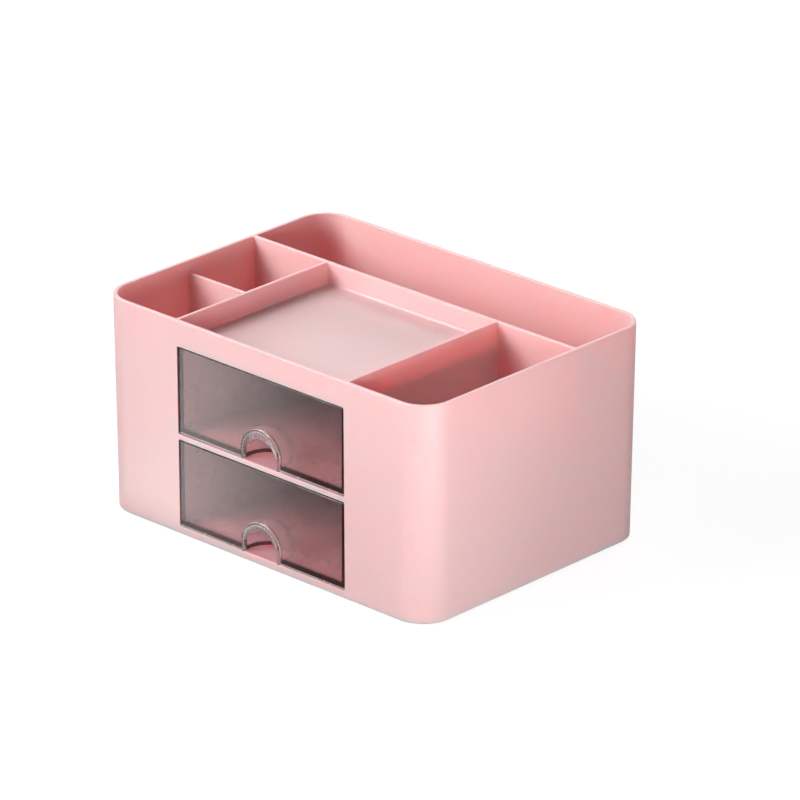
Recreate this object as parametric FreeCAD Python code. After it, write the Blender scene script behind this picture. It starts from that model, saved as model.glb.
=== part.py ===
import FreeCAD, Part
import os

# Desk-top makeup case with a long rear trough, two side compartments, a shallow tray and two
# tinted drawers that are pulled by a clear scoop in the foot of their fronts.
# Millimetres, +Z up, front towards -Y. The origin is on the table under the middle of the case.

# ---- driving sizes ----------------------------------------------------------------------------
case_width = 240.0            # over the rim, left to right
case_depth = 175.0            # over the rim, front to back
case_height = 124.0           # skirt to rim, without the pads
case_corner = 18.4            # outer upright corners at the rim
case_draft = 1.1              # each side leans in by this much from rim to skirt
case_wall = 2.4
case_floor = 2.4
skirt_height = 2.0            # hollow under the floor plate
rim_edge = 0.5                # bevel along the outside of the rim
mouth_edge = 0.3              # bevel round the mouths of the compartments
skirt_edge = 0.6              # bevel round the foot of the case
core_corner = 1.2             # upright corners inside the compartments
core_foot = 1.0               # bevel between compartment walls and floor

divider = 2.2                 # the two long dividers, which are also the bay walls
rear_divider = 2.4
trough_width = 54.2           # clear, front to back, measured at the rim
bay_width = 122.6             # clear, between the long dividers
tray_depth = 12.3             # rim to tray deck
tray_deck = 2.5
tray_foot = 1.1
shelf = 3.0                   # between the two drawers
bay_corner = 1.0              # corners of the drawer openings
bay_lip = 0.3                 # bevel round the openings
short_divider = 2.0           # crosses the left compartment
short_drop = 7.0              # its top lies this far below the rim
short_from_rear = 48.7        # its rear face to the rear divider

pad_radius = 6.0
pad_proud = 1.0               # the pads stand out of the skirt
pad_inset = 21.0              # pad centre to the side of the case

front_proud = 0.3             # drawer front ahead of the foot of the case front
front_thickness = 2.0
front_edge = 0.6              # bevel round the drawer front
side_gap = 0.5                # drawer front to opening, left and right
top_gap = 0.6
running_gap = 0.3             # drawer floor to the shelf it runs on
rear_gap = 1.5                # drawer back to rear divider
bond_gap = 0.1                # glue line between tub, front and pull
tub_inset = 0.3               # drawer front stands past the tub sides
tub_drop = 1.5                # tub sides stop below the top of the front
tub_wall = 1.8
tub_floor = 2.0
tub_draft = 0.5               # each side leans in from top to floor
tub_corner = 5.0              # rear upright corners, outside
tub_foot = 1.2                # bevel between tub walls and floor

pull_radius = 14.5            # arch of the pull in the drawer front
pull_wall = 1.6
pull_spring = 3.4             # arch centre above the drawer floor
pull_reach = 5.5              # front face to the centre of the dome
pull_ridge_out = 0.7          # ridge of the pull in front of the drawer front
pull_ridge_radius = 12.8
lip_radius = 12.1             # inner edge of the pull, an arch struck from the drawer floor
lip_out = 0.3                 # that edge in front of the drawer front
ridge_land = 0.3              # flat crest of the ridge

# ---- levels and planes worked out from them ---------------------------------------------------
over = 5.0                    # how far cutting shapes run past what they cut
same_plane = 1e-4             # heights closer than this count as one
corner_reach = 0.5            # how far from a corner its edges are looked for, besides the lean
case_z = pad_proud
rim_z = case_z + case_height
floor_under_z = case_z + skirt_height
floor_z = floor_under_z + case_floor
deck_z = rim_z - tray_depth
bay_height = (deck_z - tray_deck - shelf - floor_z) / 2
bay_levels = {"lower": floor_z, "upper": floor_z + bay_height + shelf}
bay_half = bay_width / 2
divider_face = bay_half + divider
trough_y = case_depth / 2 - case_wall - trough_width
bay_back_y = trough_y - rear_divider
short_back_y = bay_back_y - short_from_rear
short_front_y = short_back_y - short_divider
front_y = -(case_depth / 2 - case_draft) - front_proud
tub_front_y = front_y + front_thickness + bond_gap
tub_back_y = bay_back_y - rear_gap
dome_y = front_y + pull_reach


# ---- shared shapes ----------------------------------------------------------------------------
def block(x, y, z):
    """Box between two X, two Y and two Z planes."""
    corner = FreeCAD.Vector(x[0], y[0], z[0])
    return Part.makeBox(x[1] - x[0], y[1] - y[0], z[1] - z[0], corner)


def frustum(low, high):
    """Solid between two level rectangles, each given as (x0, x1, y0, y1, z)."""
    corners = []
    for x0, x1, y0, y1, z in (low, high):
        corners += [FreeCAD.Vector(x, y, z) for x, y in ((x0, y0), (x1, y0), (x1, y1), (x0, y1))]
    rings = [(0, 3, 2, 1), (4, 5, 6, 7)]
    rings += [(i, (i + 1) % 4, 4 + (i + 1) % 4, 4 + i) for i in range(4)]
    faces = [Part.Face(Part.makePolygon([corners[i] for i in ring + ring[:1]])) for ring in rings]
    return Part.Solid(Part.Shell(faces))


def case_form(inset, low, high):
    """The case's tapered outer form, inset all round, between two heights."""
    ends = []
    for z in (low, high):
        lean = case_draft * (rim_z - z) / case_height + inset
        half_x = case_width / 2 - lean
        half_y = case_depth / 2 - lean
        ends.append((-half_x, half_x, -half_y, half_y, z))
    form = frustum(*ends)
    upright = edges_where(form, lambda b: b.ZLength > (high - low) / 2)
    return form.makeFillet(case_corner - inset, upright)


def edges_where(shape, test):
    """Edges of a shape whose box passes the test."""
    return [edge for edge in shape.Edges if test(edge.BoundBox)]


def is_level(b, z):
    """Whether a bounding box is flat at one height."""
    return max(abs(b.ZMin - z), abs(b.ZMax - z)) < same_plane


def level_edges(shape, z):
    """Edges that lie flat at one height."""
    return edges_where(shape, lambda b: is_level(b, z))


def level_face(shape, z):
    """Largest flat face at one height."""
    faces = [face for face in shape.Faces if is_level(face.BoundBox, z)]
    return max(faces, key=lambda face: face.Area)


def upright_edges(shape, x, y):
    """Edges that rise at one corner of a core's plan; they may lean with the case's sides."""
    reach = case_draft + corner_reach

    def rises_there(b):
        near_x = max(abs(b.XMin - x), abs(b.XMax - x)) < reach
        near_y = max(abs(b.YMin - y), abs(b.YMax - y)) < reach
        return near_x and near_y and b.ZLength > over

    return edges_where(shape, rises_there)


def inner_edges(face):
    """Edges round the holes of a face."""
    holes = [wire for wire in face.Wires if not wire.isSame(face.OuterWire)]
    return [edge for wire in holes for edge in wire.Edges]


# ---- the case ---------------------------------------------------------------------------------
def compartment(x, y, low, corners):
    """Core of one top compartment, with rounded upright corners and, on the floor, a bevelled foot."""
    top = rim_z + over
    core = case_form(case_wall, low, top).common(block(x, y, (low, top)))
    upright = []
    for corner in corners:
        upright += upright_edges(core, *corner)
    core = core.makeFillet(core_corner, upright)
    if low > floor_z:
        return core
    return core.makeChamfer(core_foot, level_edges(core, low))


def compartments():
    """Cores of the trough, the side compartments and the tray."""
    wall_x = case_width / 2 - case_wall
    wall_y = case_depth / 2 - case_wall
    left = (-case_width / 2, -divider_face)
    right = (divider_face, case_width / 2)
    front_half = (-case_depth / 2, short_front_y)
    rear_half = (short_back_y, bay_back_y)
    whole = (-case_depth / 2, bay_back_y)
    trough = (trough_y, case_depth / 2)
    across = (-case_width / 2, case_width / 2)
    short_z = rim_z - short_drop
    front_left = [(-divider_face, -wall_y), (-divider_face, short_front_y), (-wall_x, short_front_y)]
    rear_left = [(-divider_face, short_back_y), (-wall_x, short_back_y)]
    rear_left += [(-divider_face, bay_back_y), (-wall_x, bay_back_y)]
    over_left = [(-divider_face, -wall_y), (-divider_face, bay_back_y), (-wall_x, bay_back_y)]
    all_right = [(divider_face, -wall_y), (divider_face, bay_back_y), (wall_x, bay_back_y)]
    in_trough = [(-wall_x, trough_y), (wall_x, trough_y)]
    return [
        compartment(left, front_half, floor_z, front_left),
        compartment(left, rear_half, floor_z, rear_left),
        compartment(left, whole, short_z, over_left),
        compartment(right, whole, floor_z, all_right),
        compartment(across, trough, floor_z, in_trough),
        tray_core(),
    ]


def tray_core():
    """Shallow tray between the long dividers."""
    top = rim_z + over
    whole = block((-bay_half, bay_half), (-case_depth / 2, bay_back_y), (deck_z, top))
    core = case_form(case_wall, deck_z, top).common(whole)
    upright = edges_where(core, lambda b: b.ZLength > over)
    core = core.makeFillet(core_corner, upright)
    return core.makeFillet(tray_foot, level_edges(core, deck_z))


def drawer_bay(level):
    """Core of one drawer bay, open to the front."""
    y = (-case_depth / 2 - over, bay_back_y)
    core = block((-bay_half, bay_half), y, (level, level + bay_height))
    long_edges = edges_where(core, lambda b: b.YLength > case_depth / 2)
    return core.makeFillet(bay_corner, long_edges)


def pad_centres():
    """Name and place of each foot pad."""
    x = case_width / 2 - pad_inset
    y = case_depth / 2 - pad_inset
    return {"front_left": (-x, -y), "front_right": (x, -y), "rear_left": (-x, y), "rear_right": (x, y)}


def bevel_case(case):
    """Bevel the rim, the compartments' mouths, the skirt and the drawer openings."""
    rim = level_face(case, rim_z)
    case = case.makeChamfer(rim_edge, rim.OuterWire.Edges)
    rim = level_face(case, rim_z)
    case = case.makeChamfer(mouth_edge, inner_edges(rim))
    skirt = level_face(case, case_z)
    case = case.makeChamfer(skirt_edge, skirt.OuterWire.Edges)
    inside_y = -case_depth / 2 + case_draft + case_wall / 2
    front = [face for face in case.Faces if face.BoundBox.YMax < inside_y]
    front = max(front, key=lambda face: face.Area)
    return case.makeChamfer(bay_lip, inner_edges(front))


def outer_case():
    """One moulding: walls, dividers, tray deck, drawer shelf and floor plate."""
    case = case_form(0, case_z, rim_z)
    case = case.cut(compartments())
    case = case.cut([drawer_bay(level) for level in bay_levels.values()])
    case = case.cut(case_form(case_wall, case_z - over, floor_under_z))
    return bevel_case(case)


def foot_pad(x, y):
    """Soft round pad between the floor plate and the table."""
    return Part.makeCylinder(pad_radius, floor_under_z, FreeCAD.Vector(x, y, 0))


# ---- the drawers ------------------------------------------------------------------------------
def tub_form(inset, low, high, base_z, top_z):
    """Tapered tub shape, inset at the sides and back, between two heights."""
    ends = []
    for z in (low, high):
        lean = tub_draft * (top_z - z) / (top_z - base_z) + inset
        half_x = bay_half - side_gap - tub_inset - lean
        ends.append((-half_x, half_x, tub_front_y, tub_back_y - lean, z))
    form = frustum(*ends)
    middle_y = (tub_front_y + tub_back_y) / 2
    rear = edges_where(form, lambda b: b.ZLength > (high - low) / 2 and b.YMin > middle_y)
    return form.makeFillet(tub_corner - inset, rear)


def drawer_levels(level):
    """Underside of the drawer floor, its top, and the top of the drawer front."""
    base_z = level + running_gap
    return base_z, base_z + tub_floor, level + bay_height - top_gap


def drawer_tub(level):
    """Floor, sides and back of a drawer, open where the front closes it."""
    base_z, floor_top, front_top = drawer_levels(level)
    top_z = front_top - tub_drop
    hollow = tub_form(tub_wall, floor_top, top_z + over, base_z, top_z)
    foot = [edge for edge in level_edges(hollow, floor_top) if edge.BoundBox.YMax > tub_front_y + tub_foot]
    hollow = hollow.makeChamfer(tub_foot, foot)
    tub = tub_form(0, base_z, top_z, base_z, top_z).cut(hollow)
    spring_z = floor_top + pull_spring
    tub = tub.fuse(dome_form(pull_radius, spring_z, base_z))
    return tub.cut(dome_form(pull_radius - pull_wall, spring_z, base_z - over))


def drawer_front(level):
    """Flat front panel with an arch for the pull."""
    base_z, floor_top, front_top = drawer_levels(level)
    half_x = bay_half - side_gap
    panel = block((-half_x, half_x), (front_y, front_y + front_thickness), (base_z, front_top))
    panel = panel.makeFillet(bay_corner, edges_where(panel, lambda b: b.YLength > front_thickness / 2))
    face = min(panel.Faces, key=lambda face: face.CenterOfMass.y)
    panel = panel.makeChamfer(front_edge, face.Edges)
    through = (front_y - over, front_y + front_thickness + over)
    return panel.cut(arch_prism(pull_radius + bond_gap, floor_top + pull_spring, base_z - over, *through))


# ---- the finger pull --------------------------------------------------------------------------
def arch_wire(radius, centre_z, foot_z, y):
    """Upright arch: a half circle on two straight legs, closed at the foot."""
    right = FreeCAD.Vector(radius, y, centre_z)
    crown = FreeCAD.Vector(0, y, centre_z + radius)
    left = FreeCAD.Vector(-radius, y, centre_z)
    right_foot = FreeCAD.Vector(radius, y, foot_z)
    left_foot = FreeCAD.Vector(-radius, y, foot_z)
    edges = [
        Part.makeLine(right_foot, right),
        Part.Arc(right, crown, left).toShape(),
        Part.makeLine(left, left_foot),
        Part.makeLine(left_foot, right_foot),
    ]
    return Part.Wire(edges)


def arch_prism(radius, centre_z, foot_z, y_front, y_back):
    """Straight arch-shaped bar between two upright planes."""
    arch = Part.Face(arch_wire(radius, centre_z, foot_z, y_front))
    return arch.extrude(FreeCAD.Vector(0, y_back - y_front, 0))


def arch_flare(front, back):
    """Arch-shaped bar that changes size; each end is (radius, centre_z, foot_z, y)."""
    return Part.makeLoft([arch_wire(*front), arch_wire(*back)], True, True)


def dome_form(radius, centre_z, foot_z):
    """Arch that runs back from the tub's front and closes in a quarter ball on a round foot."""
    tunnel = arch_prism(radius, centre_z, foot_z, tub_front_y, dome_y)
    ball = Part.makeSphere(radius, FreeCAD.Vector(0, dome_y, centre_z))
    drum = Part.makeCylinder(radius, centre_z - foot_z, FreeCAD.Vector(0, dome_y, foot_z))
    above = block((-radius, radius), (dome_y, dome_y + radius), (centre_z, centre_z + radius))
    behind = block((-radius, radius), (dome_y, dome_y + radius), (foot_z, centre_z))
    return tunnel.fuse([ball.common(above), drum.common(behind)]).removeSplitter()


def finger_pull(level):
    """Clear arched lip that fills the arch of the drawer front and overhangs the scoop."""
    base_z, floor_top, _ = drawer_levels(level)
    spring_z = floor_top + pull_spring
    below = base_z - over
    back_y = front_y + front_thickness
    ridge_y = front_y - pull_ridge_out
    lip_y = front_y - lip_out
    outer_arch = (pull_radius, spring_z, base_z, front_y)
    ridge_arch = (pull_ridge_radius, spring_z, base_z, ridge_y)
    crest_arch = (pull_ridge_radius - ridge_land, spring_z, below, ridge_y)
    lip_arch = (lip_radius, floor_top, below, lip_y)
    dome_arch = (pull_radius - pull_wall, spring_z, below, back_y)
    ring = arch_prism(*outer_arch, back_y)
    ring = ring.fuse(arch_flare(ridge_arch, outer_arch))
    return ring.cut([arch_flare(crest_arch, lip_arch), arch_flare(lip_arch, dome_arch)])


# ---- writing the pieces -----------------------------------------------------------------------
def pieces():
    """Every separate piece under its name."""
    shapes = {"outer_case": outer_case()}
    for place, centre in pad_centres().items():
        shapes["foot_pad_" + place] = foot_pad(*centre)
    for name, level in bay_levels.items():
        shapes[name + "_drawer_tub"] = drawer_tub(level)
        shapes[name + "_drawer_front"] = drawer_front(level)
        shapes[name + "_finger_pull"] = finger_pull(level)
    return shapes


def main():
    os.makedirs("parts", exist_ok=True)
    for name, shape in pieces().items():
        shape.exportStep(os.path.join("parts", name + ".step"))
        box = shape.optimalBoundingBox(True, False)
        print(name, len(shape.Solids), shape.isValid(), round(shape.Volume),
              [round(v, 2) for v in (box.XMin, box.XMax, box.YMin, box.YMax, box.ZMin, box.ZMax)])


main()
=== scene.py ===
# Pink desk-top make-up case: rear trough, side compartments, tray, two smoke drawers with clear pulls.
import bmesh
import bpy
import numpy as np
from mathutils import Matrix, Vector


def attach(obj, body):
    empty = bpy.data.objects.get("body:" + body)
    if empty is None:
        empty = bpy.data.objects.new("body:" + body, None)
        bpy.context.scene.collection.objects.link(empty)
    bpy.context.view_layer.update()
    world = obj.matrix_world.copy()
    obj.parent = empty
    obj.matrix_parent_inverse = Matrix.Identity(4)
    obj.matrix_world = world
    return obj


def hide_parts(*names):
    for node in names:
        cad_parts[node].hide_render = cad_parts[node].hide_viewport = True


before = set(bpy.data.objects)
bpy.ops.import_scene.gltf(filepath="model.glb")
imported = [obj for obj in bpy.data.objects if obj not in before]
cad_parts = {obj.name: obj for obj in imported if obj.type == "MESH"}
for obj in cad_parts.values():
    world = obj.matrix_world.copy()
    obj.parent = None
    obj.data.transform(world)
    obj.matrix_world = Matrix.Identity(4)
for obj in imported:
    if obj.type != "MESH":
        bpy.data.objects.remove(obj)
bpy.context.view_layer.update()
print("frame:", len(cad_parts), "nodes")

mm = 0.001
quarter = np.pi / 2


# surfaces worked out as arrays, in millimetres

def roundedRings(low, high, radii, steps):
    # each ring is four quarter circles: point = corner centre + radius * (cos a, sin a)
    # low, high: (rings, 2) plan corners; radii: (rings, 4), from the +x -y corner anticlockwise
    side = np.array([[1, -1], [1, 1], [-1, 1], [-1, -1]])
    angle = np.array([-1, 0, 1, 2])[:, None] * quarter + np.linspace(0, quarter, steps + 1)
    arc = np.stack([np.cos(angle), np.sin(angle)], -1)
    corner = np.where(side > 0, high[:, None], low[:, None])
    centre = corner - side * radii[..., None]
    ring = centre[:, :, None] + radii[:, :, None, None] * arc
    return ring.reshape(len(low), -1, 2)


def skin(name, rings):
    # closed skin over rings, an array (levels, points, 3) in millimetres, with both ends capped
    levels, points = rings.shape[:2]
    index = np.arange(levels * points).reshape(levels, points)
    after = np.roll(index, -1, axis=1)
    quads = np.stack([index[:-1], after[:-1], after[1:], index[1:]], -1).reshape(-1, 4)
    faces = quads.tolist() + [index[0, ::-1].tolist(), index[-1].tolist()]
    mesh = bpy.data.meshes.new(name)
    mesh.from_pydata((rings.reshape(-1, 3) * mm).tolist(), [], faces)
    welded = bmesh.new()
    welded.from_mesh(mesh)
    bmesh.ops.remove_doubles(welded, verts=welded.verts, dist=0.0005 * mm)
    bmesh.ops.recalc_face_normals(welded, faces=welded.faces)
    welded.to_mesh(mesh)
    welded.free()
    piece = bpy.data.objects.new(name, mesh)
    bpy.context.scene.collection.objects.link(piece)
    return piece


def bake(piece):
    # the piece's mesh becomes what its modifiers make of it
    graph = bpy.context.evaluated_depsgraph_get()
    made = bpy.data.meshes.new_from_object(piece.evaluated_get(graph))
    old = piece.data
    piece.modifiers.clear()
    piece.data = made
    bpy.data.meshes.remove(old)
    made.name = piece.name


def carve(piece, tools, how="DIFFERENCE"):
    for tool in tools:
        cut = piece.modifiers.new(tool.name, "BOOLEAN")
        cut.object = tool
        cut.operation = how
        cut.solver = "EXACT"
    bake(piece)
    for tool in tools:
        spent = tool.data
        bpy.data.objects.remove(tool)
        bpy.data.meshes.remove(spent)
    return piece


def faceCentres(piece):
    # x, y and z of every face's middle, millimetres
    centres = np.empty(len(piece.data.polygons) * 3)
    piece.data.polygons.foreach_get("center", centres)
    return centres.reshape(-1, 3).T / mm


def finishByFace(piece, slots):
    # slots: for each face, which of the piece's materials it takes
    piece.data.polygons.foreach_set("material_index", slots.astype(np.int32))
    return piece


def split(piece, levels, sides):
    # edges along level planes and along upright planes that face left and right
    cut = bmesh.new()
    cut.from_mesh(piece.data)
    planes = [((0, 0, z * mm), (0, 0, 1)) for z in levels]
    planes += [((x * mm, 0, 0), (1, 0, 0)) for x in sides]
    for point, normal in planes:
        whole = cut.verts[:] + cut.edges[:] + cut.faces[:]
        bmesh.ops.bisect_plane(cut, geom=whole, plane_co=point, plane_no=normal)
    cut.to_mesh(piece.data)
    cut.free()
    return piece


def smooth(piece, sharpAngle=38):
    # rounds shade smoothly while the large flats keep their own normals
    mesh = piece.data
    mesh.shade_smooth()
    mesh.set_sharp_from_angle(angle=np.radians(sharpAngle))
    flats = piece.modifiers.new("flats", "WEIGHTED_NORMAL")
    flats.mode = "FACE_AREA"
    flats.weight = 60
    flats.keep_sharp = True
    bake(piece)
    return piece


def wellProfile(foot, mouth, footRound, mouthRound, steps=6, beyond=5.0):
    # inset and height of a well's wall: rounded foot, straight wall, lip that flares at the mouth
    up = np.sign(mouth - foot)
    t = np.linspace(0, quarter, steps + 1)
    flare = np.linspace(0, quarter * 0.9, steps + 1)
    inset = np.concatenate([
        footRound * (1 - np.sin(t)),
        -mouthRound * (1 - np.cos(flare)),
        [-mouthRound, -mouthRound],
    ])
    height = np.concatenate([
        foot + up * footRound * (1 - np.cos(t)),
        mouth - up * mouthRound * (1 - np.sin(flare)),
        [mouth + up * 0.05 * mouthRound, mouth + up * beyond],
    ])
    return inset, height


# outer case

case = dict(
    halfSize=(120.0, 87.5),       # at the rim
    foot=1.0, rim=125.0,          # heights above the table
    lean=1.1,                     # each side leans in by this much towards the foot
    corner=18.4, wall=2.4,
    rimRound=0.6, mouthRound=0.5, footRound=0.7,
    floorUnder=3.0, floorTop=5.4, underRounds=(0.6, 0.4),
    innerCorner=1.2, innerFoot=1.15,
    dividerHalf=61.3, dividerFace=63.5,
    troughFront=30.9, rearDivider=28.5,
    deck=112.7, deckFoot=1.15,
    shortDivider=(-22.2, -20.2), shortTop=118.0,
    shortFillet=1.2, shortEdge=0.45, shortReach=1.2,    # its reach into the walls and floor
    bayFloors=(5.4, 59.3), bayHeight=50.9, bayCorner=1.0, bayFoot=0.4, bayLip=0.2,
)


def leanAt(z):
    # how far the case's sides stand in from their rim line at a height
    return case["lean"] * (case["rim"] - z) / (case["rim"] - case["foot"])


def caseRings(inset, height, low, high, leaning, radii, steps):
    # plan box (low, high) at the rim, drawn in by inset and, on the leaning sides, by the wall's lean
    lean = leanAt(height)[:, None]
    ringLow = np.array(low) + inset[:, None] + lean * np.array(leaning[:2])
    ringHigh = np.array(high) - inset[:, None] - lean * np.array(leaning[2:])
    ringRadii = np.array(radii) - inset[:, None]
    plan = roundedRings(ringLow, ringHigh, ringRadii, steps)
    z = np.broadcast_to(height[:, None, None], plan.shape[:2] + (1,))
    return np.concatenate([plan, z], -1)


def outerForm():
    # profile from foot to rim, carried round a rounded rectangle
    t = np.linspace(0, quarter, 7)
    footRound, rimRound = case["footRound"], case["rimRound"]
    inset = np.concatenate([footRound * (1 - np.sin(t)), rimRound * (1 - np.cos(t))])
    height = np.concatenate([
        case["foot"] + footRound * (1 - np.cos(t)),
        case["rim"] - rimRound * (1 - np.sin(t)),
    ])
    half = np.array(case["halfSize"])
    rings = caseRings(inset, height, -half, half, (1, 1, 1, 1), [case["corner"]] * 4, 28)
    return skin("outer form", rings)


def well(name, low, high, leaning, radii, foot, mouth, footRound, mouthRound):
    inset, height = wellProfile(foot, mouth, footRound, mouthRound)
    return skin(name, caseRings(inset, height, low, high, leaning, radii, 20))


def wells():
    halfX, halfY = np.array(case["halfSize"]) - case["wall"]
    face, rear, trough = case["dividerFace"], case["rearDivider"], case["troughFront"]
    small, large = case["innerCorner"], case["corner"] - case["wall"]
    foot = (case["floorTop"], case["rim"], case["innerFoot"], case["mouthRound"])
    deck = (case["deck"], case["rim"], case["deckFoot"], case["mouthRound"])
    under = (case["floorUnder"], case["foot"], *case["underRounds"])
    bayHalf = case["dividerHalf"]
    return [
        well("trough", (-halfX, trough), (halfX, halfY), (1, 0, 1, 1),
             (small, large, large, small), *foot),
        well("right", (face, -halfY), (halfX, rear), (0, 1, 1, 0),
             (large, small, small, small), *foot),
        well("left", (-halfX, -halfY), (-face, rear), (1, 1, 0, 0),
             (small, small, small, large), *foot),
        well("tray", (-bayHalf, -halfY), (bayHalf, rear), (0, 1, 0, 0), [small] * 4, *deck),
        well("underside", (-halfX, -halfY), (halfX, halfY), (1, 1, 1, 1), [large] * 4, *under),
    ]


def bay(floor):
    # drawer bay: a rounded opening carried from its back wall to the leaning front, where it flares
    front = -case["halfSize"][1]
    inset, y = wellProfile(case["rearDivider"], front, case["bayFoot"], case["bayLip"])
    ones = np.ones(len(inset))[:, None]
    low = ones * (-case["dividerHalf"], floor) + inset[:, None]
    high = ones * (case["dividerHalf"], floor + case["bayHeight"]) - inset[:, None]
    plan = roundedRings(low, high, (case["bayCorner"] - inset[:, None]) * np.ones((1, 4)), 6)
    forward = np.clip((case["rearDivider"] - y) / (case["rearDivider"] - front), 0, 1)[:, None]
    depth = y[:, None] + forward * leanAt(plan[..., 1])
    return skin("bay", np.stack([plan[..., 0], depth, plan[..., 1]], -1))


def shortDivider():
    # thin wall over the left compartment; half its thickness grows into fillets at ends and floor
    fillet, edge, reach = case["shortFillet"], case["shortEdge"], case["shortReach"]
    top, floor, foot = case["shortTop"], case["floorTop"], case["innerFoot"]
    middle, half = np.mean(case["shortDivider"]), np.ptp(case["shortDivider"]) / 2
    t, s = np.linspace(0, quarter, 5), np.linspace(0, quarter, 9)
    rise = np.concatenate([
        [floor - reach],
        floor + foot * (1 - np.cos(t)),
        top - edge * (1 - np.sin(t)),
    ])
    spread = np.concatenate([[foot], foot * (1 - np.sin(t)), -edge * (1 - np.cos(t))])
    along = np.concatenate([[-reach], fillet * (1 - np.cos(s))])
    swell = np.concatenate([[fillet], fillet * (1 - np.sin(s))])
    wallX = -case["halfSize"][0] + case["wall"]
    section = np.concatenate([rise, rise[::-1]])
    left = (wallX + leanAt(section))[None] + along[:, None]
    right = (-case["dividerFace"] - along[::-1, None]) + 0 * section[None]
    x = np.concatenate([left, right])
    ends = np.concatenate([swell, swell[::-1]])[:, None]
    thick = np.maximum(half + ends + spread[None], half * 0.4)
    y = np.concatenate([middle - thick, middle + thick[:, ::-1]], 1)
    return skin("short divider", np.stack([x, y, np.broadcast_to(section, x.shape)], -1))


def makeCase():
    piece = outerForm()
    piece.name = "moulded_case"
    carve(piece, wells() + [bay(floor) for floor in case["bayFloors"]])
    carve(piece, [shortDivider()], "UNION")
    return smooth(piece)


# foot pads

pad = dict(radius=6.0, height=3.0, edge=0.5, inset=21.0, dimple=0.25)


def makePad(name, x, y):
    # turned profile, radius over height, with a shallow dimple in the sole
    t = np.linspace(0, quarter, 5)
    radius, edge, dimple, height = pad["radius"], pad["edge"], pad["dimple"], pad["height"]
    rho = np.concatenate([
        [0.05, radius * 0.55, radius * 0.7],
        radius - edge * (1 - np.sin(t)),
        [radius, 0.05],
    ])
    z = np.concatenate([[dimple, dimple, 0.0], edge * (1 - np.cos(t)), [height, height]])
    turn = np.linspace(0, 2 * np.pi, 48, endpoint=False)
    rho, z = rho[:, None], z[:, None]
    rings = np.stack([x + rho * np.cos(turn), y + rho * np.sin(turn), z + 0 * turn], -1)
    return smooth(skin(name, rings))


# drawers

tub = dict(
    halfWidth=60.5, front=-84.6, back=27.0,
    base=0.3, top=48.8,           # heights above the bay's floor
    lean=0.5, wall=1.8, floor=2.0, corner=5.0,
    foot=1.3, edge=0.35, underEdge=0.6,
    domeFlare=0.8,                # round where the dome meets the floor
)
panel = dict(
    halfWidth=60.8, base=0.3, top=50.3,
    front=-86.7, thickness=2.0, corner=1.2, edge=0.9, backEdge=0.15,
    gap=0.1,                      # glue line round the pull
    foot=0.5, highlightTop=1.2, band=3.7, # strips up its outer face: painted shade, painted highlight, painted shade
    sideShade=1.4, topShade=0.5,    # painted shade in strips along its sides and top
)
pull = dict(
    radius=14.5, wall=1.6, spring=3.4, reach=5.5,
    ridgeOut=0.7, ridgeRadius=12.8, crest=0.3,
    lipRadius=12.1, lipOut=0.3,
    ribPitch=2.0, ribDepth=0.25,
    rimHighlightWidth=0.35, crestGlintWidth=0.5,    # how wide the painted highlight on the rim and the painted glints on the crest are
)
tubFloor = tub["base"] + tub["floor"]
archCentre = tubFloor + pull["spring"]


def tubForm(inset, height, front):
    # tapered tub: its sides and back lean in towards the floor, and its rear corners are round
    base, top = tub["base"], tub["top"]
    lean = tub["lean"] * (top - np.clip(height, base, top)) / (top - base)
    away = (inset + lean)[:, None]
    low = np.concatenate([-tub["halfWidth"] + away, 0 * away + front], 1)
    high = np.concatenate([tub["halfWidth"] - away, tub["back"] - away], 1)
    corners = np.maximum(tub["corner"] - inset[:, None], 0) * (0, 1, 1, 0)
    plan = roundedRings(low, high, corners, 12)
    z = np.broadcast_to(height[:, None, None], plan.shape[:2] + (1,))
    return np.concatenate([plan, z], -1)


def domeRings(radius, foot, flare):
    # half arch on short legs, run back from the panel and then turned round the dome's centre;
    # its legs flare by a quarter circle where they meet the tub's floor
    s, t = np.linspace(0, quarter, 5), np.linspace(0, quarter, 19)
    rho = np.concatenate([[radius + flare], radius + flare * (1 - np.sin(s)), radius * np.cos(t)])
    z = np.concatenate([[foot], tubFloor + flare * (1 - np.cos(s)), archCentre + radius * np.sin(t)])
    turn = np.concatenate([[0.0], np.linspace(0, np.pi, 41), [np.pi]])
    centre = np.full(len(turn), panel["front"] + pull["reach"])
    centre[[0, -1]] = tub["front"]
    rho, z = rho[:, None], z[:, None]
    return np.stack([rho * np.cos(turn), centre + rho * np.sin(turn), z + 0 * turn], -1)


def makeTub():
    t = np.linspace(0, quarter, 6)
    edge, under, past = tub["edge"], tub["underEdge"], 4.0    # past: how far cutting shapes run on
    inset = np.concatenate([under * (1 - np.sin(t)), edge * (1 - np.cos(t))])
    height = np.concatenate([
        tub["base"] + under * (1 - np.cos(t)),
        tub["top"] - edge * (1 - np.sin(t)),
    ])
    piece = skin("drawer_tub", tubForm(inset, height, tub["front"]))
    inset, height = wellProfile(tubFloor, tub["top"], tub["foot"], edge)
    carve(piece, [skin("hollow", tubForm(inset + tub["wall"], height, tub["front"] - past))])
    dome = domeRings(pull["radius"], tub["base"] + 0.2, tub["domeFlare"])
    carve(piece, [skin("dome", dome)], "UNION")
    scoop = domeRings(pull["radius"] - pull["wall"], tub["base"] - past, 0)
    scoop[:, [0, -1], 1] -= past
    carve(piece, [skin("scoop", scoop)])
    return smooth(piece)


def archPoints(radius, centre, foot, turns=64):
    # leg, half circle, leg, as x and z
    angle = np.linspace(0, np.pi, turns + 1)
    x = np.concatenate([[radius], radius * np.cos(angle), [-radius]])
    z = np.concatenate([[foot], centre + radius * np.sin(angle), [foot]])
    return x, z


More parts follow.
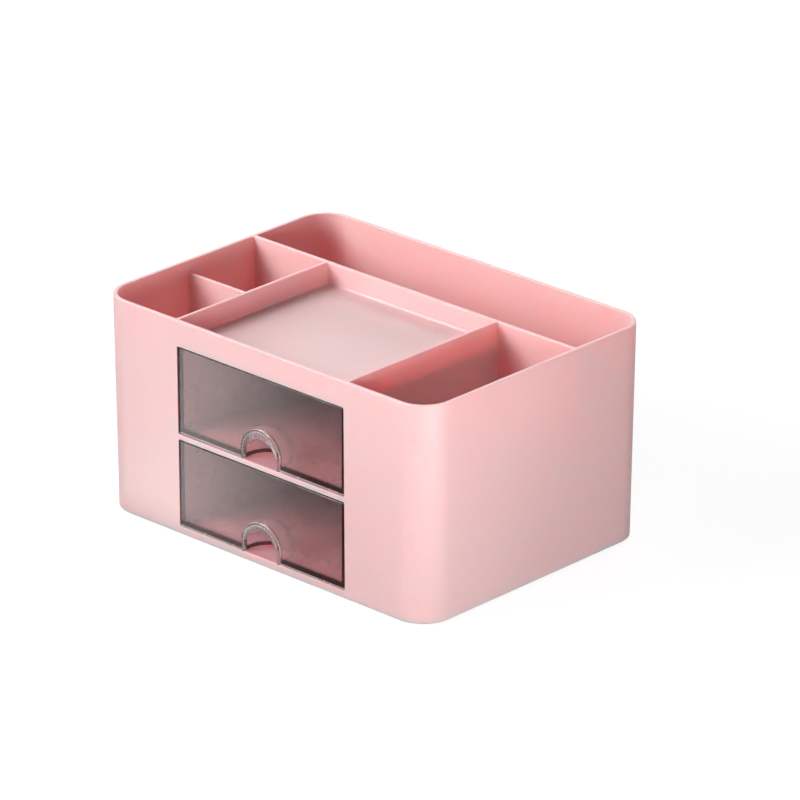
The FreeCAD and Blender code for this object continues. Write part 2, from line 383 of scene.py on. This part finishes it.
def makePanel():
    # rounded rectangle carried from the outer face to the inner face, with rounded edges
    t = np.linspace(0, quarter, 6)
    edge, backEdge, front = panel["edge"], panel["backEdge"], panel["front"]
    back, past = front + panel["thickness"], 3.0    # past: how far the arched cut runs on
    inset = np.concatenate([edge * (1 - np.sin(t)), [0.0, backEdge]])
    y = np.concatenate([front + edge * (1 - np.cos(t)), [back - backEdge, back]])
    ones = np.ones(len(inset))[:, None]
    low = ones * (-panel["halfWidth"], panel["base"]) + inset[:, None]
    high = ones * (panel["halfWidth"], panel["top"]) - inset[:, None]
    plan = roundedRings(low, high, (panel["corner"] - inset[:, None]) * np.ones((1, 4)), 8)
    rings = np.stack([plan[..., 0], y[:, None] + 0 * plan[..., 0], plan[..., 1]], -1)
    piece = skin("drawer_panel", rings)
    x, z = archPoints(pull["radius"] + panel["gap"], archCentre, panel["base"] - past)
    ends = np.array([front - past, back + past])[:, None]
    carve(piece, [skin("arch", np.stack([x + 0 * ends, ends + 0 * x, z + 0 * ends], -1))])
    # painted shade: dark strips low down, at the top and along the sides of the outer face
    foot, highlightTop, band = (panel["base"] + panel[part] for part in ("foot", "highlightTop", "band"))
    side, top = panel["halfWidth"] - panel["sideShade"], panel["top"] - panel["topShade"]
    smooth(split(piece, (foot, highlightTop, band, top), (-side, side)))
    x, y, z = faceCentres(piece)
    # painted highlight: a pale milky strip low on the outer face, between the painted shade strips
    frosted = (z > foot) & (z < highlightTop)
    dark = (z < band) | (z > top) | (np.abs(x) > side)
    return finishByFace(piece, np.where(y < front + edge, np.where(frosted, 1, 2 * dark), 0))


def softened(section, share, rounds):
    # corner cutting on a closed section: every edge keeps its middle, shared out over whole arrays
    for _ in range(rounds):
        after = np.roll(section, -1, axis=0)
        section = np.stack([section + share * (after - section), after - share * (after - section)], 1)
        section = section.reshape(-1, *section.shape[2:])
        share = 0.25
    return section


def legRadius(x, z):
    # distance from the arch's axis, and straight from the middle below its centre
    return np.hypot(x, np.maximum(z - archCentre, 0))


def makePull():
    # arched lip: six arches joined round a softened section, with fine ribs along its inner edge
    foot, front, back = panel["base"], panel["front"], panel["front"] + panel["thickness"]
    ridgeY, lipY = front - pull["ridgeOut"], front - pull["lipOut"]
    ridge, pitch = pull["ridgeRadius"], pull["ribPitch"]
    arches = [
        (pull["radius"], archCentre, back),
        (pull["radius"], archCentre, front),
        (ridge, archCentre, ridgeY),
        (ridge - pull["crest"], archCentre, ridgeY),
        (pull["lipRadius"], tubFloor, lipY),
        (pull["radius"] - pull["wall"], archCentre, back),
    ]
    edges = []
    for radius, centre, y in arches:
        x, z = archPoints(radius, centre, foot, 288)
        edges.append(np.stack([x, y + 0 * x, z], -1))
    section = softened(np.array(edges), 0.14, 3)
    # ribs fade out at the ridge, at the crest's own face and near the back
    x, y, z = np.moveaxis(section, -1, 0)
    ribbed = np.clip((ridge + 0.15 - legRadius(x, z)) / 0.5, 0, 1)
    ribbed *= np.clip((back - 0.5 - y) / 0.6, 0, 1) * np.clip((y - ridgeY - 0.25) / 0.4, 0, 1)
    along = np.linspace(0, np.pi, section.shape[1]) * pull["lipRadius"]
    ripple = pull["ribDepth"] * ribbed * (0.5 - 0.5 * np.cos(2 * np.pi * along / pitch))
    away = np.stack([x, 0 * y, np.maximum(z - archCentre, 0)], -1)
    away /= np.linalg.norm(away, axis=-1, keepdims=True)
    rings = np.swapaxes(section - ripple[..., None] * away, 0, 1)
    piece = smooth(skin("pull_lip", rings), 50)
    # painted highlights: a pale milky finish on the outer edge, and painted glints as beads on the crest
    # where the ribs end
    x, y, z = faceCentres(piece)
    radius, leg = legRadius(x, z), np.maximum(archCentre - z, 0)
    path = np.arctan2(np.maximum(z - archCentre, 0), x) * pull["lipRadius"] - np.sign(x) * leg
    paintedGlints = (np.abs(radius - ridge) < pull["crestGlintWidth"]) & (np.cos(2 * np.pi * path / pitch) > -0.2)
    rim = (radius > pull["radius"] - pull["rimHighlightWidth"]) & (y < front + 0.4)
    return finishByFace(piece, rim | (paintedGlints & (y < front)))


def raised(piece, name, height):
    # a copy of a drawer piece at its bay's floor
    mesh = piece.data.copy()
    mesh.name = name
    mesh.transform(Matrix.Translation((0, 0, height * mm)))
    made = bpy.data.objects.new(name, mesh)
    bpy.context.scene.collection.objects.link(made)
    return made


# node helpers

def startFinish(name):
    finish = bpy.data.materials.new(name)
    finish.use_nodes = True
    tree = finish.node_tree
    place = tree.nodes.new("ShaderNodeTexCoord")
    place.name = "place"
    return finish, tree.nodes, tree.links, tree.nodes["Principled BSDF"]


def grain(nodes, links, scale, detail):
    # noise over the piece's own coordinates
    noise = nodes.new("ShaderNodeTexNoise")
    noise.inputs["Scale"].default_value = scale
    noise.inputs["Detail"].default_value = detail
    links.new(nodes["place"].outputs["Object"], noise.inputs["Vector"])
    return noise.outputs["Fac"]


def spanned(nodes, links, value, low, high):
    # the middle of a noise spread over a range
    span = nodes.new("ShaderNodeMapRange")
    span.inputs["From Min"].default_value = 0.3
    span.inputs["From Max"].default_value = 0.7
    span.inputs["To Min"].default_value = low
    span.inputs["To Max"].default_value = high
    links.new(value, span.inputs["Value"])
    return span.outputs["Result"]


def blended(nodes, links, share, first, second):
    mix = nodes.new("ShaderNodeMix")
    mix.data_type = "RGBA"
    sockets = {socket.identifier: socket for socket in mix.inputs}
    for name, colour in (("A_Color", first), ("B_Color", second)):
        if isinstance(colour, tuple):
            sockets[name].default_value = (*colour, 1)
        else:
            links.new(colour, sockets[name])
    links.new(share, sockets["Factor_Float"])
    return next(socket for socket in mix.outputs if socket.identifier == "Result_Color")


def embossed(nodes, links, shader, height, strength, distance):
    bump = nodes.new("ShaderNodeBump")
    bump.inputs["Strength"].default_value = strength
    bump.inputs["Distance"].default_value = distance
    links.new(height, bump.inputs["Height"])
    links.new(bump.outputs["Normal"], shader.inputs["Normal"])


def worked(nodes, links, node, how, values):
    # an operation on numbers, vectors or other nodes' outputs
    node.operation = how
    for socket, value in zip(node.inputs, values):
        if isinstance(value, bpy.types.NodeSocket):
            links.new(value, socket)
        else:
            socket.default_value = value
    return node


def number(nodes, links, how, *values):
    return worked(nodes, links, nodes.new("ShaderNodeMath"), how, values).outputs["Value"]


def vector(nodes, links, how, *values):
    output = "Value" if how in ("LENGTH", "DOT_PRODUCT") else "Vector"
    return worked(nodes, links, nodes.new("ShaderNodeVectorMath"), how, values).outputs[output]


def axes(nodes, links, place):
    # x, y and z of a vector, each as a number
    apart = nodes.new("ShaderNodeSeparateXYZ")
    links.new(place, apart.inputs[0])
    return apart.outputs


def above(nodes, links, value, edge, soft):
    # 0 below an edge and 1 above it
    step = nodes.new("ShaderNodeMapRange")
    step.inputs["From Min"].default_value = edge - soft
    step.inputs["From Max"].default_value = edge + soft
    links.new(value, step.inputs["Value"])
    return step.outputs["Result"]


def below(nodes, links, value, edge, soft):
    return number(nodes, links, "SUBTRACT", 1.0, above(nodes, links, value, edge, soft))


def allOf(nodes, links, *masks):
    whole = masks[0]
    for mask in masks[1:]:
        whole = number(nodes, links, "MULTIPLY", whole, mask)
    return whole


def between(nodes, links, value, low, high, soft):
    return allOf(nodes, links, above(nodes, links, value, low, soft),
                 below(nodes, links, value, high, soft))


# finish of the case

casePlastic = dict(
    pink=(0.87, 0.565, 0.57), cooler=(0.855, 0.55, 0.56),               # outside, and in the tray
    # painted shade: a deeper, redder pink on the walls inside the compartments, where they stand in
    # shade
    hollow=(0.955, 0.565, 0.565), shadedHollowCooler=(0.945, 0.555, 0.555),   # inside the compartments
    # painted shade: a darker pink in the drawer bays, and near black on their sides where the gap beside
    # each drawer lies in shadow
    bay=(0.60, 0.33, 0.36), jambShadow=(0.12, 0.03, 0.03),                    # drawer bays, and their sides
    roughness=(0.42, 0.50), ior=1.5, shine=1.0,
    bleed=(0.0045, 0.0003, 0.0003),   # how far each colour of light spreads in the plastic, metres
    grainHeight=0.00004, soft=0.3,    # how soft the masks' edges are, millimetres
)


def inShadedHollows(nodes, links):
    # 1 on the walls inside the case, which take the painted shade: within the shell's rounded plan,
    # under the rim, not in the tray
    soft = casePlastic["soft"] * mm
    place = nodes["place"].outputs["Object"]
    flat = [(half - case["corner"]) * mm for half in case["halfSize"]]
    away = vector(nodes, links, "ABSOLUTE", place)
    away = vector(nodes, links, "SUBTRACT", away, (*flat, 1.0))
    away = vector(nodes, links, "MAXIMUM", away, (0, 0, 0))
    away = vector(nodes, links, "LENGTH", away)
    shell = above(nodes, links, away, (case["corner"] - 1.75) * mm, 0.35 * mm)
    onRim = above(nodes, links, axes(nodes, links, place)["Z"], (case["rim"] - 0.9) * mm, soft)
    inside = number(nodes, links, "SUBTRACT", 1.0, number(nodes, links, "MAXIMUM", shell, onRim))
    # the tray is a box, open upwards: a point is outside it where any axis passes the half size
    front, back = -case["halfSize"][1], case["rearDivider"] + 1.2
    half = (case["dividerHalf"] + 1.1, (back - front) / 2, 100)
    middle = (0, (front + back) / 2, case["deck"] - 1.2 + half[2])
    apart = vector(nodes, links, "SUBTRACT", place, tuple(v * mm for v in middle))
    apart = vector(nodes, links, "ABSOLUTE", apart)
    x, y, z = axes(nodes, links, vector(nodes, links, "SUBTRACT", apart, tuple(v * mm for v in half)))
    farthest = number(nodes, links, "MAXIMUM", number(nodes, links, "MAXIMUM", x, y), z)
    return allOf(nodes, links, inside, above(nodes, links, farthest, 0, 0.4 * mm))


def inShadedBays(nodes, links):
    # two masks for painted shade: 1 on all walls of the drawer bays, and 1 on their sides; both stop at
    # the case's front
    soft = casePlastic["soft"] * mm
    place = nodes["place"].outputs["Object"]
    slope = case["lean"] / (case["rim"] - case["foot"])
    depth = vector(nodes, links, "DOT_PRODUCT", place, (0, 1, slope))
    frontFace = slope * case["rim"] - case["halfSize"][1]
    x, y, z = axes(nodes, links, vector(nodes, links, "ABSOLUTE", place))
    inside = allOf(
        nodes, links,
        above(nodes, links, depth, (frontFace + 0.3) * mm, 0.15 * mm),
        below(nodes, links, x, (case["dividerHalf"] + 0.9) * mm, soft),
        below(nodes, links, z, (case["deck"] - 1.0) * mm, soft),
        above(nodes, links, z, (case["floorTop"] - 0.6) * mm, soft),
        below(nodes, links, depth, (case["rearDivider"] + 1.2) * mm, soft),
    )
    sides = above(nodes, links, x, (case["dividerHalf"] - 0.4) * mm, 0.1 * mm)
    return inside, allOf(nodes, links, inside, sides)


def makeCasePlastic():
    finish, nodes, links, shader = startFinish("satin pink plastic")
    use = casePlastic
    flow = spanned(nodes, links, grain(nodes, links, 14, 3), 0, 1)
    outer = blended(nodes, links, flow, use["pink"], use["cooler"])
    inner = blended(nodes, links, flow, use["hollow"], use["shadedHollowCooler"])
    # painted shade: the deeper pink goes on the compartment walls
    colour = blended(nodes, links, inShadedHollows(nodes, links), outer, inner)
    bays, sides = inShadedBays(nodes, links)
    # painted shade: darker pink in the drawer bays, near black on their sides
    colour = blended(nodes, links, bays, colour, use["bay"])
    colour = blended(nodes, links, sides, colour, use["jambShadow"])
    links.new(colour, shader.inputs["Base Color"])
    roughness = spanned(nodes, links, grain(nodes, links, 45, 3), *use["roughness"])
    links.new(roughness, shader.inputs["Roughness"])
    shader.inputs["IOR"].default_value = use["ior"]
    shader.inputs["Specular IOR Level"].default_value = use["shine"]
    shader.inputs["Subsurface Weight"].default_value = 1.0
    shader.inputs["Subsurface Radius"].default_value = use["bleed"]
    shader.inputs["Subsurface Scale"].default_value = 1.0
    embossed(nodes, links, shader, grain(nodes, links, 1500, 2), 0.15, use["grainHeight"])
    return finish


# finishes of the drawers

clearPlastic = dict(
    # clear: share that lets light through; gleam: strength of its reflections
    # shade: what passes to things behind it; dye and density: how its depth takes colour out
    tub=dict(
        tint=(0.83, 0.69, 0.70), film=(0.80, 0.67, 0.68), roughness=(0.24, 0.32), waves=0.01,
        ior=1.45, clear=0.88, gleam=0.5,
        shade=(0.90, 0.82, 0.83), dye=(0.57, 0.48, 0.49), density=30.0,
    ),
    panel=dict(
        tint=(0.90, 0.74, 0.74), film=(0.88, 0.72, 0.72), roughness=(0.14, 0.20), waves=0.01,
        ior=1.45, clear=1.0, gleam=0.75,
        shade=(0.95, 0.86, 0.86), dye=(0.62, 0.40, 0.40), density=46.0,
    ),
    # painted shade: near black plastic for the dark strips along the panel's foot, sides and top
    band=dict(
        tint=(0.20, 0.05, 0.05), film=(0.17, 0.04, 0.04), roughness=(0.10, 0.16), waves=0.01,
        ior=1.45, clear=0.9, gleam=0.0,
        shade=(0.6, 0.5, 0.5), dye=(0.60, 0.35, 0.35), density=60.0,
    ),
    lip=dict(
        tint=(0.76, 0.66, 0.67), film=(0.73, 0.63, 0.64), roughness=(0.03, 0.06), waves=0.03,
        ior=1.5, clear=0.97, gleam=0.35,
        shade=(0.8, 0.7, 0.7), dye=(0.8, 0.7, 0.7), density=15.0,
    ),
    # painted highlight: pale, half milky plastic for the bright strip low on the panel and the bright
    # rim and crest beads of the lip
    frosted=dict(
        tint=(1.0, 0.90, 0.90), film=(0.98, 0.88, 0.88), roughness=(0.20, 0.30), waves=0.03,
        ior=1.5, clear=0.55, gleam=0.75,
        shade=(0.8, 0.7, 0.7), dye=(0.8, 0.7, 0.7), density=15.0,
    ),
)
tubPaintedLight = dict(
    cut=(0.07, 0.02, 0.02),       # painted shade: the tub's front ends where they meet the panel, the floor behind them and the scoop's foot
    flareHighlight=(1.0, 0.95, 0.95),       # painted highlight on the round where the dome meets the floor
    floorShadeDepth=3.0,                # how far back the painted shade on the floor reaches
)


def drawerPlace(nodes, links):
    # x, y and the height above the floor of the drawer's own bay
    lower, upper = (floor * mm for floor in case["bayFloors"])
    x, y, z = axes(nodes, links, nodes["place"].outputs["Object"])
    height = number(nodes, links, "SUBTRACT", z, lower)
    return x, y, number(nodes, links, "MODULO", height, upper - lower)


def fromDome(nodes, links, x, y):
    # distance from the dome's axis behind its centre, and from the middle plane in front of it
    centre = (panel["front"] + pull["reach"]) * mm
    behind = number(nodes, links, "MAXIMUM", number(nodes, links, "SUBTRACT", y, centre), 0.0)
    pair = nodes.new("ShaderNodeCombineXYZ")
    links.new(x, pair.inputs[0])
    links.new(behind, pair.inputs[1])
    return vector(nodes, links, "LENGTH", pair.outputs[0])


# painted shade near black on the tub's front ends, on a strip of floor behind them and on the scoop's
# foot; a painted highlight on the dome's flare
def tubShadeAndHighlight(nodes, links, colour):
    x, y, z = drawerPlace(nodes, links)
    radius = fromDome(nodes, links, x, y)
    ends = below(nodes, links, y, (tub["front"] + 0.3) * mm, 0.1 * mm)
    strip = allOf(nodes, links,
                  below(nodes, links, y, (tub["front"] + tubPaintedLight["floorShadeDepth"]) * mm, 0.4 * mm),
                  below(nodes, links, z, (tubFloor + 0.4) * mm, 0.2 * mm))
    foot = allOf(nodes, links,
                 below(nodes, links, radius, (pull["radius"] - pull["wall"] + 0.3) * mm, 0.1 * mm),
                 below(nodes, links, z, (tubFloor + 0.2) * mm, 0.2 * mm))
    flare = (pull["radius"] + 0.05) * mm, (pull["radius"] + 0.75) * mm
    # painted highlight: a pale ring on the flare where the dome meets the floor
    flareHighlight = allOf(nodes, links,
                 between(nodes, links, radius, *flare, 0.15 * mm),
                 between(nodes, links, z, (tubFloor - 0.1) * mm, (tubFloor + 0.9) * mm, 0.15 * mm))
    # painted shade: the front ends, the floor strip and the scoop's foot go near black
    dark = number(nodes, links, "MAXIMUM", number(nodes, links, "MAXIMUM", ends, strip), foot)
    colour = blended(nodes, links, flareHighlight, colour, tubPaintedLight["flareHighlight"])
    return blended(nodes, links, dark, colour, tubPaintedLight["cut"])


def makeClearPlastic(name, kind, tones=None):
    # bends and mirrors light; lamps reach what is behind it through the transparent side
    use = clearPlastic[kind]
    finish, nodes, links, shader = startFinish(name)
    shader.inputs["Transmission Weight"].default_value = use["clear"]
    shader.inputs["IOR"].default_value = use["ior"]
    shader.inputs["Specular IOR Level"].default_value = use["gleam"]
    cloud = spanned(nodes, links, grain(nodes, links, 30, 2), 0, 1)
    colour = blended(nodes, links, cloud, use["tint"], use["film"])
    if tones:
        colour = tones(nodes, links, colour)
    links.new(colour, shader.inputs["Base Color"])
    roughness = spanned(nodes, links, grain(nodes, links, 60, 2), *use["roughness"])
    links.new(roughness, shader.inputs["Roughness"])
    embossed(nodes, links, shader, grain(nodes, links, 55, 1), use["waves"], 0.0002)
    through = nodes.new("ShaderNodeBsdfTransparent")
    through.inputs["Color"].default_value = (*use["shade"], 1)
    path = nodes.new("ShaderNodeLightPath")
    either = nodes.new("ShaderNodeMixShader")
    links.new(path.outputs["Is Shadow Ray"], either.inputs["Fac"])
    links.new(shader.outputs["BSDF"], either.inputs[1])
    links.new(through.outputs["BSDF"], either.inputs[2])
    links.new(either.outputs["Shader"], nodes["Material Output"].inputs["Surface"])
    absorb = nodes.new("ShaderNodeVolumeAbsorption")
    absorb.inputs["Color"].default_value = (*use["dye"], 1)
    absorb.inputs["Density"].default_value = use["density"]
    links.new(absorb.outputs["Volume"], nodes["Material Output"].inputs["Volume"])
    return finish


# finish of the pads

padRubber = dict(grey=(0.730, 0.694, 0.672), darker=(0.631, 0.597, 0.578), roughness=(0.7, 0.85))


def makePadRubber():
    finish, nodes, links, shader = startFinish("pale pad rubber")
    speck = spanned(nodes, links, grain(nodes, links, 700, 3), 0, 1)
    colour = blended(nodes, links, speck, padRubber["grey"], padRubber["darker"])
    links.new(colour, shader.inputs["Base Color"])
    roughness = spanned(nodes, links, grain(nodes, links, 300, 2), *padRubber["roughness"])
    links.new(roughness, shader.inputs["Roughness"])
    embossed(nodes, links, shader, grain(nodes, links, 2500, 3), 0.4, 0.0001)
    return finish


# putting it together

def dress(piece, body, node, slot, *finishes):
    for finish in finishes:
        piece.data.materials.append(finish)
    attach(piece, body)
    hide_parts(node)


caseFinish = makeCasePlastic()
tubFinish = makeClearPlastic("frosted tub plastic", "tub", tubShadeAndHighlight)
panelFinish = makeClearPlastic("smoke panel plastic", "panel")
lipFinish = makeClearPlastic("clear pull plastic", "lip")
# painted highlight finish for the panel's low strip and the lip's rim and crest
highlightFinish = makeClearPlastic("frosted edge plastic", "frosted")
# painted shade finish for the panel's dark strips
shadeBandFinish = makeClearPlastic("dark band plastic", "band")
padFinish = makePadRubber()

caseBody = makeCase()
dress(caseBody, "case", "outer_case", "case_plastic", caseFinish)
print("case:", len(caseBody.data.polygons), "faces")

for side, x in (("left", -1), ("right", 1)):
    for end, y in (("front", -1), ("rear", 1)):
        away = np.array(case["halfSize"]) - pad["inset"]
        sole = makePad("sole_" + end + "_" + side, x * away[0], y * away[1])
        dress(sole, "case", "foot_pad_" + end + "_" + side, "pad_rubber", padFinish)
print("pads: 4")

drawerParts = [
    # shape, the end of its name, the end of its node, slot and finishes
    (makeTub(), "_tub", "_drawer_tub", "drawer_plastic", (tubFinish,)),
    (makePanel(), "_panel", "_drawer_front", "drawer_plastic", (panelFinish, highlightFinish, shadeBandFinish)),
    (makePull(), "_lip", "_finger_pull", "pull_plastic", (lipFinish, highlightFinish)),
]
for level, floor in zip(("lower", "upper"), case["bayFloors"]):
    for shape, name, node, slot, finishes in drawerParts:
        dress(raised(shape, level + name, floor), level + "_drawer", level + node, slot, *finishes)
for shape, *rest in drawerParts:
    spent = shape.data
    bpy.data.objects.remove(shape)
    bpy.data.meshes.remove(spent)
print("drawers: 2, each a tub, a panel and a lip")


# floor, light and camera

studio = dict(
    floorHalf=6.0,
    floorLit=0.08, floorSeen=0.20,    # lamp light that the floor sends to the object, and to the camera
    floorGlow=0.88,                   # its glow in the camera
    floorMirrored=0.30,               # its glow in the object's sheen
    # a white card on the floor, seen in mirrors only; across is metres along x - 0.94 * depth
    cardGlow=4.0, cardAcross=(-0.02, 0.065), cardFade=0.05, cardNear=0.100, cardNearFade=0.012,
)


def whenSeen(nodes, links, kinds):
    # 1 for rays from the camera and of the kinds named, and 0 for the light that falls on things
    path = nodes.new("ShaderNodeLightPath")
    share = path.outputs["Is Camera Ray"]
    for kind in kinds:
        share = number(nodes, links, "MAXIMUM", share, path.outputs[kind])
    return share


def mirroredFloor(nodes, links):
    # glow for mirrored rays: a dim floor and, for the first of them, the white card
    path = nodes.new("ShaderNodeLightPath")
    place = nodes["place"].outputs["Object"]
    across = vector(nodes, links, "DOT_PRODUCT", place, (1.0, -0.94, 0.0))
    forward = vector(nodes, links, "DOT_PRODUCT", place, (0.0, -1.0, 0.0))
    card = allOf(nodes, links,
                 between(nodes, links, across, *studio["cardAcross"], studio["cardFade"]),
                 above(nodes, links, forward, studio["cardNear"], studio["cardNearFade"]),
                 below(nodes, links, path.outputs["Ray Depth"], 1.5, 0.1),
                 studio["cardGlow"])
    glow = number(nodes, links, "ADD", card, studio["floorMirrored"])
    return allOf(nodes, links, path.outputs["Is Glossy Ray"], glow)


def makeFloor():
    # flat grid; seen and mirrored it glows to white, and it still darkens in the shadow
    at = np.linspace(-studio["floorHalf"], studio["floorHalf"], 9)
    x, y = np.meshgrid(at, at)
    points = np.stack([x, y, 0 * x], -1).reshape(-1, 3)
    index = np.arange(len(points)).reshape(x.shape)
    quads = np.stack([index[:-1, :-1], index[:-1, 1:], index[1:, 1:], index[1:, :-1]], -1)
    mesh = bpy.data.meshes.new("studio floor")
    mesh.from_pydata(points.tolist(), [], quads.reshape(-1, 4).tolist())
    floor = bpy.data.objects.new("studio_floor", mesh)
    bpy.context.scene.collection.objects.link(floor)
    finish, nodes, links, shader = startFinish("pale studio floor")
    seen = whenSeen(nodes, links, ("Is Transmission Ray",))
    tone = spanned(nodes, links, grain(nodes, links, 2, 2), 0, 1)
    shade, dim = studio["floorLit"], studio["floorSeen"]
    lit = blended(nodes, links, tone, (shade,) * 3, (shade * 1.01,) * 3)
    links.new(blended(nodes, links, seen, lit, (dim,) * 3), shader.inputs["Base Color"])
    shader.inputs["Roughness"].default_value = 0.9
    shader.inputs["Specular IOR Level"].default_value = 0.0
    shader.inputs["Emission Color"].default_value = (1, 1, 1, 1)
    glow = number(nodes, links, "MULTIPLY", seen, studio["floorGlow"])
    glow = number(nodes, links, "ADD", glow, mirroredFloor(nodes, links))
    links.new(glow, shader.inputs["Emission Strength"])
    mesh.materials.append(finish)


def makeWorld():
    # white where it is seen or mirrored, and no light of its own
    world = bpy.data.worlds.new("studio")
    bpy.context.scene.world = world
    world.use_nodes = True
    nodes, links = world.node_tree.nodes, world.node_tree.links
    lit, seen = nodes["Background"], nodes.new("ShaderNodeBackground")
    lit.inputs["Strength"].default_value = 0.0
    seen.inputs["Color"].default_value = (1, 1, 1, 1)
    either = nodes.new("ShaderNodeMixShader")
    links.new(whenSeen(nodes, links, ("Is Glossy Ray", "Is Transmission Ray")), either.inputs["Fac"])
    links.new(lit.outputs[0], either.inputs[1])
    links.new(seen.outputs[0], either.inputs[2])
    links.new(either.outputs[0], nodes["World Output"].inputs["Surface"])


view = dict(
    azimuth=43.21, elevation=22.81, roll=0.14, distance=3.3875,
    target=(0, 0, 0.063),             # the lamps point there too
    slide=(0.01431, 0.00675), lens=283.53, sensor=36.0,
)
lamps = dict(
    key=dict(azimuth=-30, elevation=30, distance=1.8, size=(0.9, 0.9), watts=27.8),
    left=dict(azimuth=-60, elevation=35, distance=0.9, size=(0.5, 0.5), watts=2.7),
    edge=dict(azimuth=54, elevation=9, distance=0.5, size=(0.16, 0.14), watts=0.94),
    side=dict(azimuth=75, elevation=3, distance=0.6, size=(0.2, 0.14), watts=1.15),
    back=dict(azimuth=210, elevation=45, distance=1.8, size=(0.9, 0.9), watts=6.4),
    outline=dict(azimuth=208, elevation=8, distance=1.4, size=(1.3, 0.5), watts=6.0),
    rear=dict(azimuth=180, elevation=5, distance=1.4, size=(0.9, 0.4), watts=6.0),
)


def aim(azimuth, elevation):
    # unit direction out from the object; azimuth turns from the front towards the right
    a, e = np.radians([azimuth, elevation])
    return np.array([np.sin(a) * np.cos(e), -np.cos(a) * np.cos(e), np.sin(e)])


def makeLamps():
    middle = np.array(view["target"])
    for name, use in lamps.items():
        light = bpy.data.lights.new(name, "AREA")
        light.shape = "RECTANGLE"
        light.size, light.size_y = use["size"]
        light.energy = use["watts"]
        lamp = bpy.data.objects.new(name, light)
        bpy.context.scene.collection.objects.link(lamp)
        away = aim(use["azimuth"], use["elevation"])
        lamp.location = middle + away * use["distance"]
        lamp.rotation_euler = Vector(away).to_track_quat("Z", "Y").to_euler()
        lamp.visible_transmission = False    # its light passes clear pieces as shadow rays instead


def makeCamera():
    a = np.radians(view["azimuth"])
    back = aim(view["azimuth"], view["elevation"])
    right = np.array([np.cos(a), np.sin(a), 0])
    up = np.cross(back, right)
    turn = np.radians(view["roll"])
    rightTurned = right * np.cos(turn) + up * np.sin(turn)
    upTurned = up * np.cos(turn) - right * np.sin(turn)
    shot = bpy.data.cameras.new("shot")
    shot.sensor_width = view["sensor"]
    shot.lens = view["lens"]
    shot.clip_start, shot.clip_end = 0.1, 50
    camera = bpy.data.objects.new("shot", shot)
    bpy.context.scene.collection.objects.link(camera)
    place = np.array(view["target"]) + back * view["distance"]
    place = place + right * view["slide"][0] + up * view["slide"][1]
    turned = Matrix((rightTurned.tolist(), upTurned.tolist(), back.tolist())).transposed().to_4x4()
    camera.matrix_world = Matrix.Translation(Vector(place)) @ turned
    bpy.context.scene.camera = camera


makeFloor()
makeWorld()
makeLamps()
makeCamera()
bpy.context.scene.view_settings.view_transform = "Standard"
print("studio: floor, world,", len(lamps), "lamps and camera")
